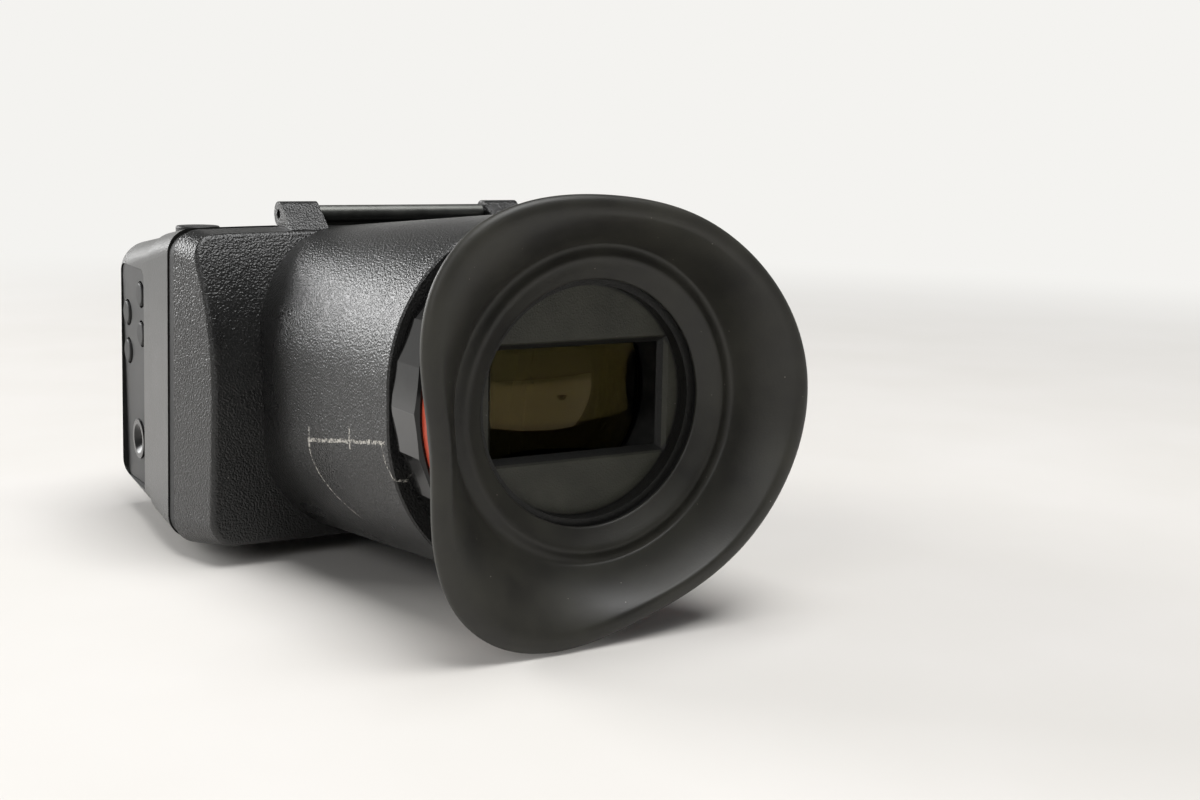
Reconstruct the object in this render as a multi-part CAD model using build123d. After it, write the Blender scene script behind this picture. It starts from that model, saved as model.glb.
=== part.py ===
from build123d import *
import math
import os

# Monitor-type electronic viewfinder: a flat monitor unit, and a magnifier that flips up from it.
# Millimetres. The origin is the mouth of the tapped hole in the base plate, -Y points to the eye,
# +X to the connector side and +Z up. Heights named _z are counted from the optical axis.

# Optical axis above the base plate, and the two stations that the rest is measured from
axis_z = 38.4
seam_y = -27.1
aperture_ahead = 79.4

# Screen window
screen_z = -4.5
window_w = 76.0
window_h = 48.0
window_corner = 2.0

# Monitor casing, with its widths counted out from the window's edge
band_depth = 14.9
monitor_depth = 44.6
seam_side_low = 11.8
seam_side_high = 10.4
seam_half_low = window_w / 2 + seam_side_low
seam_half_high = window_w / 2 + seam_side_high
seam_top = 25.2
seam_bottom = -36.2
rear_side_low = 10.0
rear_side_high = 9.0
rear_half_low = window_w / 2 + rear_side_low
rear_half_high = window_w / 2 + rear_side_high
rear_top = 20.0
rear_bottom = -34.4
crown = 0.6
seam_corner = 5.0
rear_corner = 7.0
band_step = 0.5
monitor_wall = 2.4
rear_round = 3.0
lip_deep = 2.0
lip_wall = 1.2
seat_gap = 0.1
cut = 5.0
bezel = 2.0

# Screen glass and panel
glass_recess = 0.5
glass_thick = 1.1
glass_lip = 2.0
lcd_margin = 0.8
lcd_thick = 3.0

# Chassis tray, boards and the screws through them
tray_thick = 1.0
tray_side = 2.0
tray_w = window_w + 2 * tray_side
tray_h = 46.0
ear_side = 5.0
ear_x = window_w / 2 + ear_side
ear_z = (14.0, -27.0)
ear_r = 2.7
tray_screw_r = 0.8
tray_head_r = 1.6
tray_head = 1.0
tray_screw = 2.0
board_ahead = 6.0
board_thick = 1.6
board_w = 76.0
board_h = 42.0
board_z = -7.0
pillar_x = 28.0
pillar_z = (11.0, -25.0)
pillar_r = 2.6
boss_r = 3.4
screw_r = 1.2
screw_gap = 0.15
head_r = 2.3
head_high = 1.6
head_sunk = 0.5
screw_bite = 6.0
chip_thick = 2.2
chip_places = ((-8.0, -2.0, 16.0), (14.0, -12.0, 10.0), (-22.0, -16.0, 8.0), (14.0, 4.0, 7.0))
vent_w = 1.6
vent_h = 22.0
vent_pitch = 4.0
vent_count = 9

# Control panel on the left side, with its keys and headphone jack
panel_side = 8.3
panel_x = -window_w / 2 - panel_side
panel_thick = 1.3
panel_y = (-5.5, 15.4)
panel_z = (-31.0, 15.5)
panel_corner = 2.5
panel_ledge = 0.7
panel_frame = 1.8
key_places = ((1.0, 9.8), (1.0, 1.5), (11.5, 5.0), (11.5, -3.3))
key_r = 2.5
key_gap = 0.2
key_ring = 0.35
key_proud = 0.5
key_travel = 0.5
key_rim = 0.5
key_rim_thick = 0.7
key_dome = 0.5
switch_free = 0.1
switch_button = 0.8
switch_button_r = 1.4
switch_size = 5.0
switch_body = 1.7
key_board_thick = 1.2
key_board_edge = 0.5
key_board_low = -15.0
jack_place = (4.9, -21.6)
jack_boss_r = 4.2
jack_proud = 0.4
jack_r = 1.8
jack_deep = 14.0
jack_mouth_r = 3.2
jack_mouth = 1.2
jack_body = 8.0
jack_long = 13.0

# Power button on the top
power_side = 1.5
power_x = -window_w / 2 - power_side
power_behind = 9.6
power_r = 4.3
power_proud = 0.9
power_travel = 0.6
power_soft = 0.4
power_rim = 0.6
power_rim_thick = 0.7
power_seat = 1.2
shelf_out = 4.5
shelf_in = 6.5
shelf_thick = 1.0

# Sockets on the right side
socket_y = 3.6
bnc_z = (3.0, -12.0)
bnc_r = 4.8
bnc_wall = 1.0
bnc_nut_r = 6.8
bnc_nut = 2.0
bnc_out = 10.4
bnc_in = 9.0
bnc_lug_r = 0.9
bnc_lug_out = 0.9
bnc_lug_back = 4.0
socket_side = 8.4
spotface = window_w / 2 + socket_side
socket_wall = 6.0
hdmi_z = -25.6
hdmi_w = 15.0
hdmi_h = 5.6
hdmi_wall = 0.5
hdmi_deep = 10.0
hdmi_floor = 1.0
hdmi_tongue = 1.0
dc_z = 14.0
dc_nut_r = 3.6
dc_r = 2.8
dc_pin_r = 1.0
dc_deep = 9.0
dc_floor = 1.0

# Base plate
plate_half = 21.0
plate_reach = 11.4
plate_thick = 5.5
plate_corner = 3.0
plate_soft = 0.4
plate_boss_r = 6.2
plate_boss = 3.0
plate_pad = 3.4
thread_r = 2.55
thread_deep = 7.0
pin_hole_r = 2.3
pin_hole_y = 8.2
pin_hole_deep = 4.5
plate_screw_x = 16.5
plate_screw_y = 7.0

# Hinge over the seam
hinge_ahead = 0.9
hinge_z = 27.9
knuckle_r = 2.5
knuckle_in = 18.6
knuckle_out = 26.4
knuckle_gap = 0.35
knuckle_foot = 4.0
foot_sunk = 3.0
barrel_r = 1.7
pin_r = 0.9
pin_fit = 0.02
pin_run = 0.05
pin_recess = 0.8
strap_back = 7.2
strap_thick = 1.0
strap_screw_x = 12.0
strap_screw_back = 5.0

# Magnifier housing: a flange whose face leans back towards the top, then a tube that turns from a
# rounded box into a nearly round collar
seam_gap = 0.3
gasket_thick = 3.9
gasket_side = 0.3
gasket_top = 0.7
flange_depth = 13.2
flange_side_low = 8.4
flange_side_high = 6.5
flange_half_low = window_w / 2 + flange_side_low
flange_half_high = window_w / 2 + flange_side_high
flange_front_top = 23.4
flange_front_bottom = -34.4
flange_round = 1.2
lean_low = -6.0
lean_high = 28.0
lean_radius = 62.0
port_side = 3.0
port_half = window_w / 2 + port_side
port_top = 21.0
port_bottom = -30.5
port_corner = 4.0
tube_back = 13.3
tube_half = 31.5
tube_top = 31.4
tube_bottom = -34.0
tube_rise = 0.2
tube_shoulder = 29.0
tube_chin = 29.5
tube_soft = 0.3
tube_bore = 29.6
bore_chin = 27.0
root_half = 36.8
root_top = 24.0
root_crown = 2.2
root_bottom = -33.4
root_shoulder = 22.0
root_chin = 18.0
tube_wall = 2.4
magnet_side = 7.2
magnet_x = window_w / 2 + magnet_side
magnet_z = -27.5
magnet_r = 2.4
magnet_long = 6.0
keeper_thick = 1.0

# Barrel, focus ring and lens cell, with depths counted back from the aperture
barrel_r_out = 26.0
barrel_r_in = 23.6
barrel_front = 1.3
run_gap = 0.06
collar_deep = 4.6
collar_wall = 2.5
collar_gap = 0.35
collar_r = 29.7
barrel_flange_r = 29.2
barrel_flange = 2.4
barrel_screw_ring = 27.6
barrel_screw_count = 3
barrel_screw_start = 30.0
barrel_screw_r = 0.9
barrel_bite = 2.0
barrel_head_r = 1.6
barrel_head = 1.1
ring_r = 31.2
ring_front = 2.7
ring_facets = 26
ring_bevel = 0.7
ring_mouth_deep = 3.3
ring_mouth_r = 28.7
accent_r = 30.1
accent_thick = 1.8
accent_soft = 0.3
cam_back = 11.5
cam_turn = 100.0
cam_travel = 6.0
cam_count = 3
cam_pin_r = 1.0
cam_gap = 0.08
cam_pin_in = 21.6
cam_pin_out = 27.9
cam_floor_gap = 0.3
cell_front = 9.5
cell_back = 24.5
cell_lip_r = 19.6
cell_lip = 1.0
cell_mouth_r = 22.4
lens_r = 20.6
lens_gap = 0.1
front_lens_vertex = 10.3
front_lens_radius = 36.0
front_lens_edge = 2.6
spacer_wall = 1.2
spacer_thick = 1.0
rear_lens_radius = 60.0
rear_lens_edge = 2.2
lock_ring = 1.4

# Mask, retainer, eyecup holder and eyecup
mask_back = 5.8
mask_face = 4.0
mask_r = 23.5
mask_bore_r = 20.0
sight_w = 35.3
sight_h = 20.9
sight_bevel = 1.3
retainer_r_in = 21.4
retainer_r_out = 27.0
retainer_thick = 0.7
holder_r = 28.2
holder_back = 5.6
holder_play = 0.2
holder_flange_in = 27.2
holder_flange_r = 29.4
holder_shelf = 0.5
holder_flange = 0.9
aperture_r = 21.0
annulus_proud = 0.3
bowl_step_r = 24.4
bowl_edge_r = 25.0
bowl_edge = 2.5
cup_root_r = 30.6
cup_root_back = 0.4
rim_ahead = 12.2
rim_r = 37.27
rim_waves = ((-2.11, -0.41), (0.23, 0.35), (2.44, 0.49), (-1.30, -0.59), (0.48, 0.33))
rim_points = 36
valley_r = 27.0
flare_r = 31.2
lip_crest = 2.1
lip_round = 0.9
cup_outside = ((2.6, 0.06), (5.2, 0.3), (7.2, 0.55), (9.0, 0.8), (10.3, 1.0))
cup_shoulder = (11.4, 0.2)
cup_inside = ((3.2, 0.12), (4.3, 0.25), (6.3, 0.4), (8.6, 0.55), (10.4, 0.7), (11.6, 0.85))

aperture_y = seam_y - aperture_ahead
step_y = seam_y + band_depth
rear_y = seam_y + monitor_depth
hinge_y = seam_y - hinge_ahead
gasket_y = seam_y - seam_gap
flange_y = gasket_y - gasket_thick
flange_front_y = flange_y - flange_depth
tube_front_y = aperture_y + tube_back
collar_y = tube_front_y + collar_deep
collar_back_y = collar_y + collar_wall
optical_axis = Axis((0, 0, axis_z), (0, 1, 0))


def across(y):
    # A plane square to the optical axis and centred on it, with its normal towards the eye.
    return Plane(origin=(0, y, axis_z), x_dir=(1, 0, 0), z_dir=(0, -1, 0))


def slab(face, y_back, y_front):
    # An outline drawn square to the axis, run from its rear station to its front one.
    return extrude(across(y_back) * face, amount=y_back - y_front)


def disc(r, y_back, y_front, x=0.0, z=0.0):
    return slab(Pos(x, z) * Circle(r), y_back, y_front)


def turned(*outline):
    # A turned piece from (radius, depth behind the aperture) points.
    points = [(r, aperture_y + depth) for r, depth in outline]
    face = Pos(0, 0, axis_z) * make_face(Polyline(*points, close=True))
    return revolve(face, optical_axis, 360)


def box(x0, x1, y0, y1, z0, z1):
    block = Box(x1 - x0, y1 - y0, z1 - z0)
    return Pos((x0 + x1) / 2, (y0 + y1) / 2, axis_z + (z0 + z1) / 2) * block


def rod_x(r, x0, x1, y, z):
    return Pos((x0 + x1) / 2, y, axis_z + z) * Rot(0, 90, 0) * Cylinder(r, x1 - x0)


def rod_z(r, z0, z1, x, y):
    return Pos(x, y, axis_z + (z0 + z1) / 2) * Cylinder(r, z1 - z0)


def around(count, start=90.0):
    # Angles of equal steps about the optical axis.
    return [start + 360.0 * i / count for i in range(count)]


def turn(angle):
    # A turn about the optical axis, counted from +X towards +Z.
    return Pos(0, 0, axis_z) * Rot(0, -angle, 0) * Pos(0, 0, -axis_z)


def mix(a, b, share):
    return a + (b - a) * share


def sag(radius, r):
    # How far a round face falls back at a distance r from its middle.
    return radius - math.sqrt(radius**2 - r**2)


def casing(y, half_low, half_high, top, bottom, rise, corner):
    # A casing's cross-section: leaning sides, a crowned top and rounded corners.
    edges = Line((-half_low, bottom), (half_low, bottom))
    edges += Line((half_low, bottom), (half_high, top))
    edges += ThreePointArc((half_high, top), (0, top + rise), (-half_high, top))
    edges += Line((-half_high, top), (-half_low, bottom))
    face = make_face(edges)
    return (across(y) * fillet(face.vertices(), corner)).face()


def monitor_section(y, inset):
    # The monitor narrows evenly from the seam to its rear face.
    share = (y - seam_y) / monitor_depth
    return casing(
        y,
        mix(seam_half_low, rear_half_low, share) - inset,
        mix(seam_half_high, rear_half_high, share) - inset,
        mix(seam_top, rear_top, share) - inset,
        mix(seam_bottom, rear_bottom, share) + inset,
        crown,
        max(mix(seam_corner, rear_corner, share) - inset, 1.0),
    )


def monitor_body(y0, y1, inset):
    return loft([monitor_section(y0, inset), monitor_section(y1, inset)])


def tube_section(y, half, top, rise, bottom, top_r, chin_r):
    # The tube's cross-section, with one radius for its shoulders and one for its chin.
    edges = Line((-half, bottom), (half, bottom))
    edges += Line((half, bottom), (half, top))
    edges += ThreePointArc((half, top), (0, top + rise), (-half, top))
    edges += Line((-half, top), (-half, bottom))
    face = fillet(make_face(edges).vertices().group_by(Axis.Y)[-1], top_r)
    return (across(y) * fillet(face.vertices().group_by(Axis.Y)[0], chin_r)).face()


def monitor_top(x, y):
    # Height of the front band's crowned top, near enough for a button to stand proud of it.
    share = (y - seam_y) / monitor_depth
    half = mix(seam_half_high, rear_half_high, share)
    return mix(seam_top, rear_top, share) + crown * (1 - (x / half) ** 2)


def screw(r, length, head, thick):
    # A screw along Z with its head's underside at zero and its shank below.
    return Pos(0, 0, -length / 2) * Cylinder(r, length) + Pos(0, 0, thick / 2) * Cylinder(head, thick)


def towards_rear(x, y, z):
    # Places a piece drawn along Z so that its top points to the rear.
    return Pos(x, y, axis_z + z) * Rot(-90, 0, 0)


parts = {}

# Front frame, a band with a thin bezel in front of the glass
glass_back_y = seam_y + glass_recess + glass_thick
lcd_back_y = glass_back_y + lcd_thick
tray_back_y = lcd_back_y + tray_thick
glass_w = window_w + 2 * glass_lip
glass_h = window_h + 2 * glass_lip
frame = monitor_body(seam_y, step_y, 0) - monitor_body(seam_y + bezel, step_y, monitor_wall)
window = Pos(0, screen_z) * RectangleRounded(window_w, window_h, window_corner)
pocket = Pos(0, screen_z) * Rectangle(glass_w + 2 * seat_gap, glass_h + 2 * seat_gap)
frame -= slab(window, seam_y + bezel, seam_y)
frame -= slab(pocket, seam_y + bezel, seam_y + glass_recess)
for side in (-1, 1):
    for z in ear_z:
        lug = disc(ear_r, lcd_back_y, seam_y + bezel, side * ear_x, z)
        frame += lug - disc(tray_screw_r, lcd_back_y, lcd_back_y - tray_screw, side * ear_x, z)
    frame -= disc(magnet_r + seat_gap, seam_y + keeper_thick, seam_y, side * magnet_x, magnet_z)
    near = side * (knuckle_in - knuckle_gap)
    far = side * (knuckle_out + knuckle_gap)
    frame -= rod_x(knuckle_r + knuckle_gap, min(near, far), max(near, far), hinge_y, hinge_z)
strap_half = knuckle_in - knuckle_gap
strap_seat = seam_top
frame -= box(-strap_half, strap_half, seam_y, seam_y + strap_back, strap_seat, strap_seat + cut)
power_y = seam_y + power_behind
power_top = monitor_top(power_x, power_y)
seat_low = power_top - monitor_wall - power_seat
rim_low = seat_low - seat_gap - power_rim_thick
frame += rod_z(power_r + power_rim, seat_low, power_top - band_step, power_x, power_y)
frame -= rod_z(power_r + key_gap, 0, power_top + cut, power_x, power_y)
strap_screw_y = seam_y + strap_screw_back
for side in (-1, 1):
    frame -= rod_z(tray_screw_r, strap_seat - tray_screw, strap_seat, side * strap_screw_x, strap_screw_y)
parts["front_frame"] = frame

# Screen glass and the panel bonded behind it
glass = Pos(0, screen_z) * Rectangle(glass_w, glass_h)
parts["display_glass"] = slab(glass, glass_back_y, seam_y + glass_recess)
lcd = Pos(0, screen_z) * Rectangle(window_w + 2 * lcd_margin, window_h + 2 * lcd_margin)
parts["lcd_panel"] = slab(lcd, lcd_back_y, glass_back_y)

# Keepers that the magnets of the magnifier hold on to
keepers = [disc(magnet_r, seam_y + keeper_thick, seam_y, s * magnet_x, magnet_z) for s in (-1, 1)]
parts["magnet_keepers"] = Compound(keepers)

# Chassis tray: a plate with four ears, four pillars and a shelf for the power switch
board_front_y = step_y + board_ahead
tray = slab(Pos(0, screen_z) * Rectangle(tray_w, tray_h), tray_back_y, lcd_back_y)
for side in (-1, 1):
    for z in ear_z:
        ear = Pos(side * (ear_x - 1.5 * ear_r), z) * Rectangle(3 * ear_r, 2 * ear_r)
        tray += slab(ear, tray_back_y, lcd_back_y) + disc(ear_r, tray_back_y, lcd_back_y, side * ear_x, z)
        tray -= disc(tray_screw_r + screw_gap, tray_back_y, lcd_back_y, side * ear_x, z)
    for z in pillar_z:
        pillar = disc(pillar_r, board_front_y, tray_back_y, side * pillar_x, z)
        tray += pillar - disc(screw_r, board_front_y, board_front_y - screw_bite, side * pillar_x, z)
switch_top = rim_low - power_travel - switch_free
shelf_top = switch_top - switch_button - switch_body
shelf_back = power_y + switch_size
tray += box(
    power_x - shelf_out, power_x + shelf_in, lcd_back_y, shelf_back, shelf_top - shelf_thick, shelf_top
)
parts["chassis_tray"] = tray

tray_screws = []
for side in (-1, 1):
    for z in ear_z:
        place = towards_rear(side * ear_x, tray_back_y, z)
        tray_screws.append(place * screw(tray_screw_r, tray_screw + tray_thick, tray_head_r, tray_head))
parts["tray_screws"] = Compound(tray_screws)

# Main board, with its chips soldered on its rear face
board_back_y = board_front_y + board_thick
board = slab(Pos(0, board_z) * Rectangle(board_w, board_h), board_back_y, board_front_y)
for x, z, size in chip_places:
    board += slab(Pos(x, z) * Rectangle(size, size), board_back_y + chip_thick, board_back_y)
for side in (-1, 1):
    for z in pillar_z:
        board -= disc(screw_r + screw_gap, board_back_y, board_front_y, side * pillar_x, z)
parts["main_board"] = board

# Rear cover: a shell with a lip inside the front frame
cover = monitor_body(step_y, rear_y, band_step)
cover = fillet(cover.edges().group_by(Axis.Y)[-1], rear_round)
outer = cover
inner_y = rear_y - monitor_wall
cover -= monitor_body(step_y, inner_y, band_step + monitor_wall)
lip = monitor_body(step_y - lip_deep, step_y + monitor_wall, monitor_wall + seat_gap)
lip -= monitor_body(step_y - lip_deep, step_y + monitor_wall, monitor_wall + seat_gap + lip_wall)
cover += lip
cover -= rod_z(power_r + power_rim + key_gap, 0, power_top, power_x, power_y)
for side in (-1, 1):
    for z in pillar_z:
        cover += disc(boss_r, inner_y, board_back_y, side * pillar_x, z)
head_y = rear_y - head_sunk - head_high
for side in (-1, 1):
    for z in pillar_z:
        cover -= disc(screw_r + screw_gap, rear_y, board_back_y, side * pillar_x, z)
        cover -= disc(head_r + screw_gap, rear_y, head_y, side * pillar_x, z)
vent_start = -vent_pitch * (vent_count - 1) / 2
for i in range(vent_count):
    slot = Pos(vent_start + i * vent_pitch, board_z) * SlotOverall(vent_h, vent_w, rotation=90)
    cover -= slab(slot, rear_y, inner_y)

# The cover's frame for the control panel
panel_back = panel_x + panel_thick
key_back = panel_back + seat_gap + key_rim_thick
switch_x = key_back + key_travel + switch_free
key_board_x = switch_x + switch_button + switch_body
y0, y1 = panel_y
z0, z1 = panel_z
margin = panel_frame
cover += box(panel_x - cut, key_board_x, y0 - margin, y1 + margin, z0 - margin, z1 + margin) & outer


def side_plate(x_out, x_in, inset):
    # A rounded plate on the left side, as large as the panel less an inset.
    face = RectangleRounded(y1 - y0 - 2 * inset, z1 - z0 - 2 * inset, max(panel_corner - inset, 0.5))
    centre = (x_out, (y0 + y1) / 2, axis_z + (z0 + z1) / 2)
    return extrude(Plane(origin=centre, x_dir=(0, 1, 0), z_dir=(1, 0, 0)) * face, amount=x_in - x_out)


cover -= side_plate(panel_x - cut, panel_back, 0)
cover -= side_plate(panel_x, key_board_x, panel_ledge)

# The cover's holes for the sockets, and its pad for the base plate
hdmi_hole_w = hdmi_w / 2 + seat_gap
hdmi_hole_h = hdmi_h / 2 + seat_gap
for z in bnc_z:
    cover -= rod_x(bnc_r + seat_gap, spotface - socket_wall, spotface + cut, socket_y, z)
    cover -= rod_x(bnc_nut_r + key_gap, spotface, spotface + cut, socket_y, z)
cover -= rod_x(dc_nut_r + seat_gap, spotface - socket_wall, spotface + cut, socket_y, dc_z)
cover -= box(
    spotface - socket_wall, spotface + cut,
    socket_y - hdmi_hole_w, socket_y + hdmi_hole_w,
    hdmi_z - hdmi_hole_h, hdmi_z + hdmi_hole_h,
)
pad_low = seam_bottom
pad_top = plate_thick + plate_pad - axis_z
pad_half = plate_half + plate_pad
cover += box(-pad_half, pad_half, -plate_reach, plate_reach + plate_pad, pad_low, pad_top) & outer


def plate_outline(gap):
    return RectangleRounded(2 * plate_half + 2 * gap, 2 * plate_reach + 2 * gap, plate_corner)


cover -= extrude(plate_outline(seat_gap), amount=plate_thick)
cover -= Pos(0, 0, axis_z / 4) * Cylinder(plate_boss_r + seat_gap, axis_z / 2)
plate_screws_at = [(sx * plate_screw_x, sy * plate_screw_y) for sx in (-1, 1) for sy in (-1, 1)]
for x, y in plate_screws_at:
    cover -= rod_z(screw_r, plate_thick - axis_z, pad_top, x, y)
parts["rear_cover"] = cover

rear_screws = []
for side in (-1, 1):
    for z in pillar_z:
        place = towards_rear(side * pillar_x, head_y, z)
        length = head_y - board_front_y + screw_bite - screw_gap
        rear_screws.append(place * screw(screw_r, length, head_r, head_high))
parts["rear_screws"] = Compound(rear_screws)

# Base plate with its tapped boss and locating hole
plate = extrude(plate_outline(0), amount=plate_thick)
plate = chamfer(plate.edges().group_by(Axis.Z)[0], plate_soft)
plate += Pos(0, 0, (plate_thick + plate_boss) / 2) * Cylinder(plate_boss_r, plate_thick + plate_boss)
plate -= Pos(0, 0, thread_deep / 2) * Cylinder(thread_r, thread_deep)
plate -= Pos(0, pin_hole_y, pin_hole_deep / 2) * Cylinder(pin_hole_r, pin_hole_deep)
plate_screws = []
for x, y in plate_screws_at:
    plate -= rod_z(screw_r + screw_gap, -axis_z, plate_thick - axis_z, x, y)
    plate -= rod_z(head_r + screw_gap, -axis_z, head_sunk + head_high - axis_z, x, y)
    bolt = screw(screw_r, plate_thick + plate_pad - head_sunk - head_high, head_r, head_high)
    plate_screws.append(Pos(x, y, head_sunk + head_high) * Rot(180, 0, 0) * bolt)
parts["base_plate"] = plate
parts["base_plate_screws"] = Compound(plate_screws)

# Control panel, keys, their switches and board
panel = side_plate(panel_x, panel_back, seat_gap)
for y, z in key_places:
    panel -= rod_x(key_r + key_ring, panel_x, panel_back, y, z)
jack_y, jack_z = jack_place
panel -= rod_x(jack_boss_r + seat_gap, panel_x, panel_back, jack_y, jack_z)
parts["control_panel"] = panel
key_switches = []
for number, (y, z) in enumerate(key_places, 1):
    stem = rod_x(key_r, panel_x - key_proud, key_back, y, z)
    stem = fillet(stem.edges().group_by(Axis.X)[0], key_dome)
    rim = rod_x(key_r + key_rim, panel_back + seat_gap, key_back, y, z)
    parts[f"key_{number}"] = stem + rim
    half = switch_size / 2
    body = box(switch_x + switch_button, key_board_x, y - half, y + half, z - half, z + half)
    key_switches.append(body + rod_x(switch_button_r, switch_x, switch_x + switch_button, y, z))
parts["key_switches"] = Compound(key_switches)
parts["key_board"] = box(
    key_board_x, key_board_x + key_board_thick,
    y0 + key_board_edge, y1 - key_board_edge,
    key_board_low, z1 - key_board_edge,
)
half = jack_body / 2
jack = box(panel_back, panel_back + jack_long, jack_y - half, jack_y + half, jack_z - half, jack_z + half)
jack += rod_x(jack_boss_r, panel_x - jack_proud, panel_back, jack_y, jack_z)
jack = jack - rod_x(jack_r, panel_x - jack_proud, panel_x - jack_proud + jack_deep, jack_y, jack_z)
mouth = Rot(0, 90, 0) * Cone(jack_mouth_r, jack_r, jack_mouth)
jack -= Pos(panel_x - jack_proud + jack_mouth / 2, jack_y, axis_z + jack_z) * mouth
parts["headphone_jack"] = jack

# Power button and its switch
button = rod_z(power_r, rim_low, power_top + power_proud, power_x, power_y)
button = fillet(button.edges().group_by(Axis.Z)[-1], power_soft)
button += rod_z(power_r + power_rim, rim_low, rim_low + power_rim_thick, power_x, power_y)
parts["power_button"] = button
half = switch_size / 2
power_switch = box(
    power_x - half, power_x + half, power_y - half, power_y + half, shelf_top, shelf_top + switch_body
)
power_switch += rod_z(switch_button_r, shelf_top, switch_top, power_x, power_y)
parts["power_switch"] = power_switch

# Sockets
bnc_sockets = []
for z in bnc_z:
    bnc = rod_x(bnc_r, spotface - bnc_in, spotface + bnc_out, socket_y, z)
    bnc -= rod_x(bnc_r - bnc_wall, spotface + bnc_nut, spotface + bnc_out, socket_y, z)
    bnc += rod_x(bnc_wall, spotface, spotface + bnc_out - bnc_nut, socket_y, z)
    nut = Plane(origin=(spotface, socket_y, axis_z + z), x_dir=(0, 1, 0), z_dir=(1, 0, 0))
    hexagon = extrude(nut * RegularPolygon(bnc_nut_r, 6), amount=bnc_nut)
    bnc += hexagon - rod_x(bnc_r - bnc_wall, spotface, spotface + bnc_nut, socket_y, z)
    lug_x = spotface + bnc_out - bnc_lug_back
    lug = Pos(lug_x, socket_y, axis_z + z) * Rot(90, 0, 0) * Cylinder(bnc_lug_r, 2 * (bnc_r + bnc_lug_out))
    bnc += lug - rod_x(bnc_r - bnc_wall, lug_x - bnc_lug_r, lug_x + bnc_lug_r, socket_y, z)
    bnc_sockets.append(bnc)
parts["video_sockets"] = Compound([bnc.solid() for bnc in bnc_sockets])

back_x = spotface - hdmi_deep
hw, hh = hdmi_w / 2, hdmi_h / 2
shell = box(back_x, spotface, socket_y - hw, socket_y + hw, hdmi_z - hh, hdmi_z + hh)
hw, hh = hw - hdmi_wall, hh - hdmi_wall
shell -= box(back_x + hdmi_floor, spotface, socket_y - hw, socket_y + hw, hdmi_z - hh, hdmi_z + hh)
tongue = hdmi_tongue / 2
hw -= 2 * hdmi_wall
tongue_x = spotface - 2 * hdmi_floor
shell += box(back_x, tongue_x, socket_y - hw, socket_y + hw, hdmi_z - tongue, hdmi_z + tongue)
parts["data_socket"] = shell
dc = rod_x(dc_nut_r, spotface - dc_deep - dc_floor, spotface, socket_y, dc_z)
dc -= rod_x(dc_r, spotface - dc_deep, spotface, socket_y, dc_z)
dc += rod_x(dc_pin_r, spotface - dc_deep - dc_floor, spotface - dc_floor, socket_y, dc_z)
parts["power_socket"] = dc

# Hinge bar on the monitor, its screws and the pin
bar_plane = Plane(origin=(-strap_half, 0, axis_z), x_dir=(0, 1, 0), z_dir=(1, 0, 0))
round_edge = (Pos(hinge_y, hinge_z) * Circle(barrel_r)).edges()
web_low = strap_seat + strap_thick
web_edge = Line((seam_y + seam_gap, web_low), (seam_y + 2 * barrel_r, web_low)).edges()
web = make_hull(round_edge + web_edge)
bar = extrude(bar_plane * web, amount=2 * strap_half)
bar += box(-strap_half, strap_half, seam_y + seam_gap, seam_y + strap_back, strap_seat, web_low)
bar -= rod_x(pin_r + pin_fit, -strap_half, strap_half, hinge_y, hinge_z)
strap_screws = []
for side in (-1, 1):
    x, y = side * strap_screw_x, strap_screw_y
    bar -= rod_z(tray_screw_r + screw_gap, strap_seat, web_low, x, y)
    bolt = screw(tray_screw_r, strap_thick + tray_screw, tray_head_r, tray_head)
    strap_screws.append(Pos(x, y, axis_z + web_low) * bolt)
parts["hinge_bar"] = bar
parts["hinge_screws"] = Compound(strap_screws)
pin_half = knuckle_out - pin_recess
parts["hinge_pin"] = rod_x(pin_r, -pin_half, pin_half, hinge_y, hinge_z)



def before_face(back):
    # The space in front of the flange's face, or of a face that far behind it.
    y = flange_front_y + back
    high = lean_high - lean_low
    top_y = y + sag(lean_radius, high)
    mid_y = y + sag(lean_radius, high / 2)
    edges = ThreePointArc((y, lean_low), (mid_y, lean_low + high / 2), (top_y, lean_high))
    edges += Polyline((top_y, lean_high), (y - cut, lean_high), (y - cut, lean_low), (y, lean_low))
    side = Plane(origin=(-seam_half_low, 0, axis_z), x_dir=(0, 1, 0), z_dir=(1, 0, 0))
    return extrude(side * make_face(edges), amount=2 * seam_half_low)


# Magnifier housing
flange = loft([
    casing(flange_y, seam_half_low, seam_half_high, seam_top, seam_bottom, crown, seam_corner),
    casing(
        flange_front_y, flange_half_low, flange_half_high,
        flange_front_top, flange_front_bottom, crown, seam_corner,
    ),
])
flange -= before_face(0)
face_edges = [edge for face in flange.faces() if face.normal_at().Y < -0.6 for edge in face.edges()]
flange = fillet([e for e in face_edges if abs(e.center().Z - axis_z - lean_low) > cut / 2], flange_round)
root_y = flange_front_y + sag(lean_radius, root_top + root_crown - lean_low) + flange_round
tube = loft([
    tube_section(root_y, root_half, root_top, root_crown, root_bottom, root_shoulder, root_chin),
    tube_section(tube_front_y, tube_half, tube_top, tube_rise, tube_bottom, tube_shoulder, tube_chin),
])
tube = chamfer(tube.edges().group_by(Axis.Y)[0], tube_soft)
housing = flange + tube
port = loft([
    casing(y, port_half, port_half, port_top, port_bottom, crown, port_corner)
    for y in (flange_y, flange_front_y + tube_wall)
])
bore_top = tube_bore - tube_rise
bore = loft([
    tube_section(
        root_y, root_half - tube_wall, root_top - tube_wall, root_crown,
        root_bottom + tube_wall, root_shoulder - tube_wall, root_chin - tube_wall,
    ),
    tube_section(
        collar_back_y, tube_bore, bore_top, tube_rise,
        tube_bottom + tube_wall, tube_shoulder - tube_wall, bore_chin,
    ),
])
housing -= port - before_face(tube_wall)
housing -= bore
housing -= disc(barrel_r_out + seat_gap, collar_back_y, tube_front_y)
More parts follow.
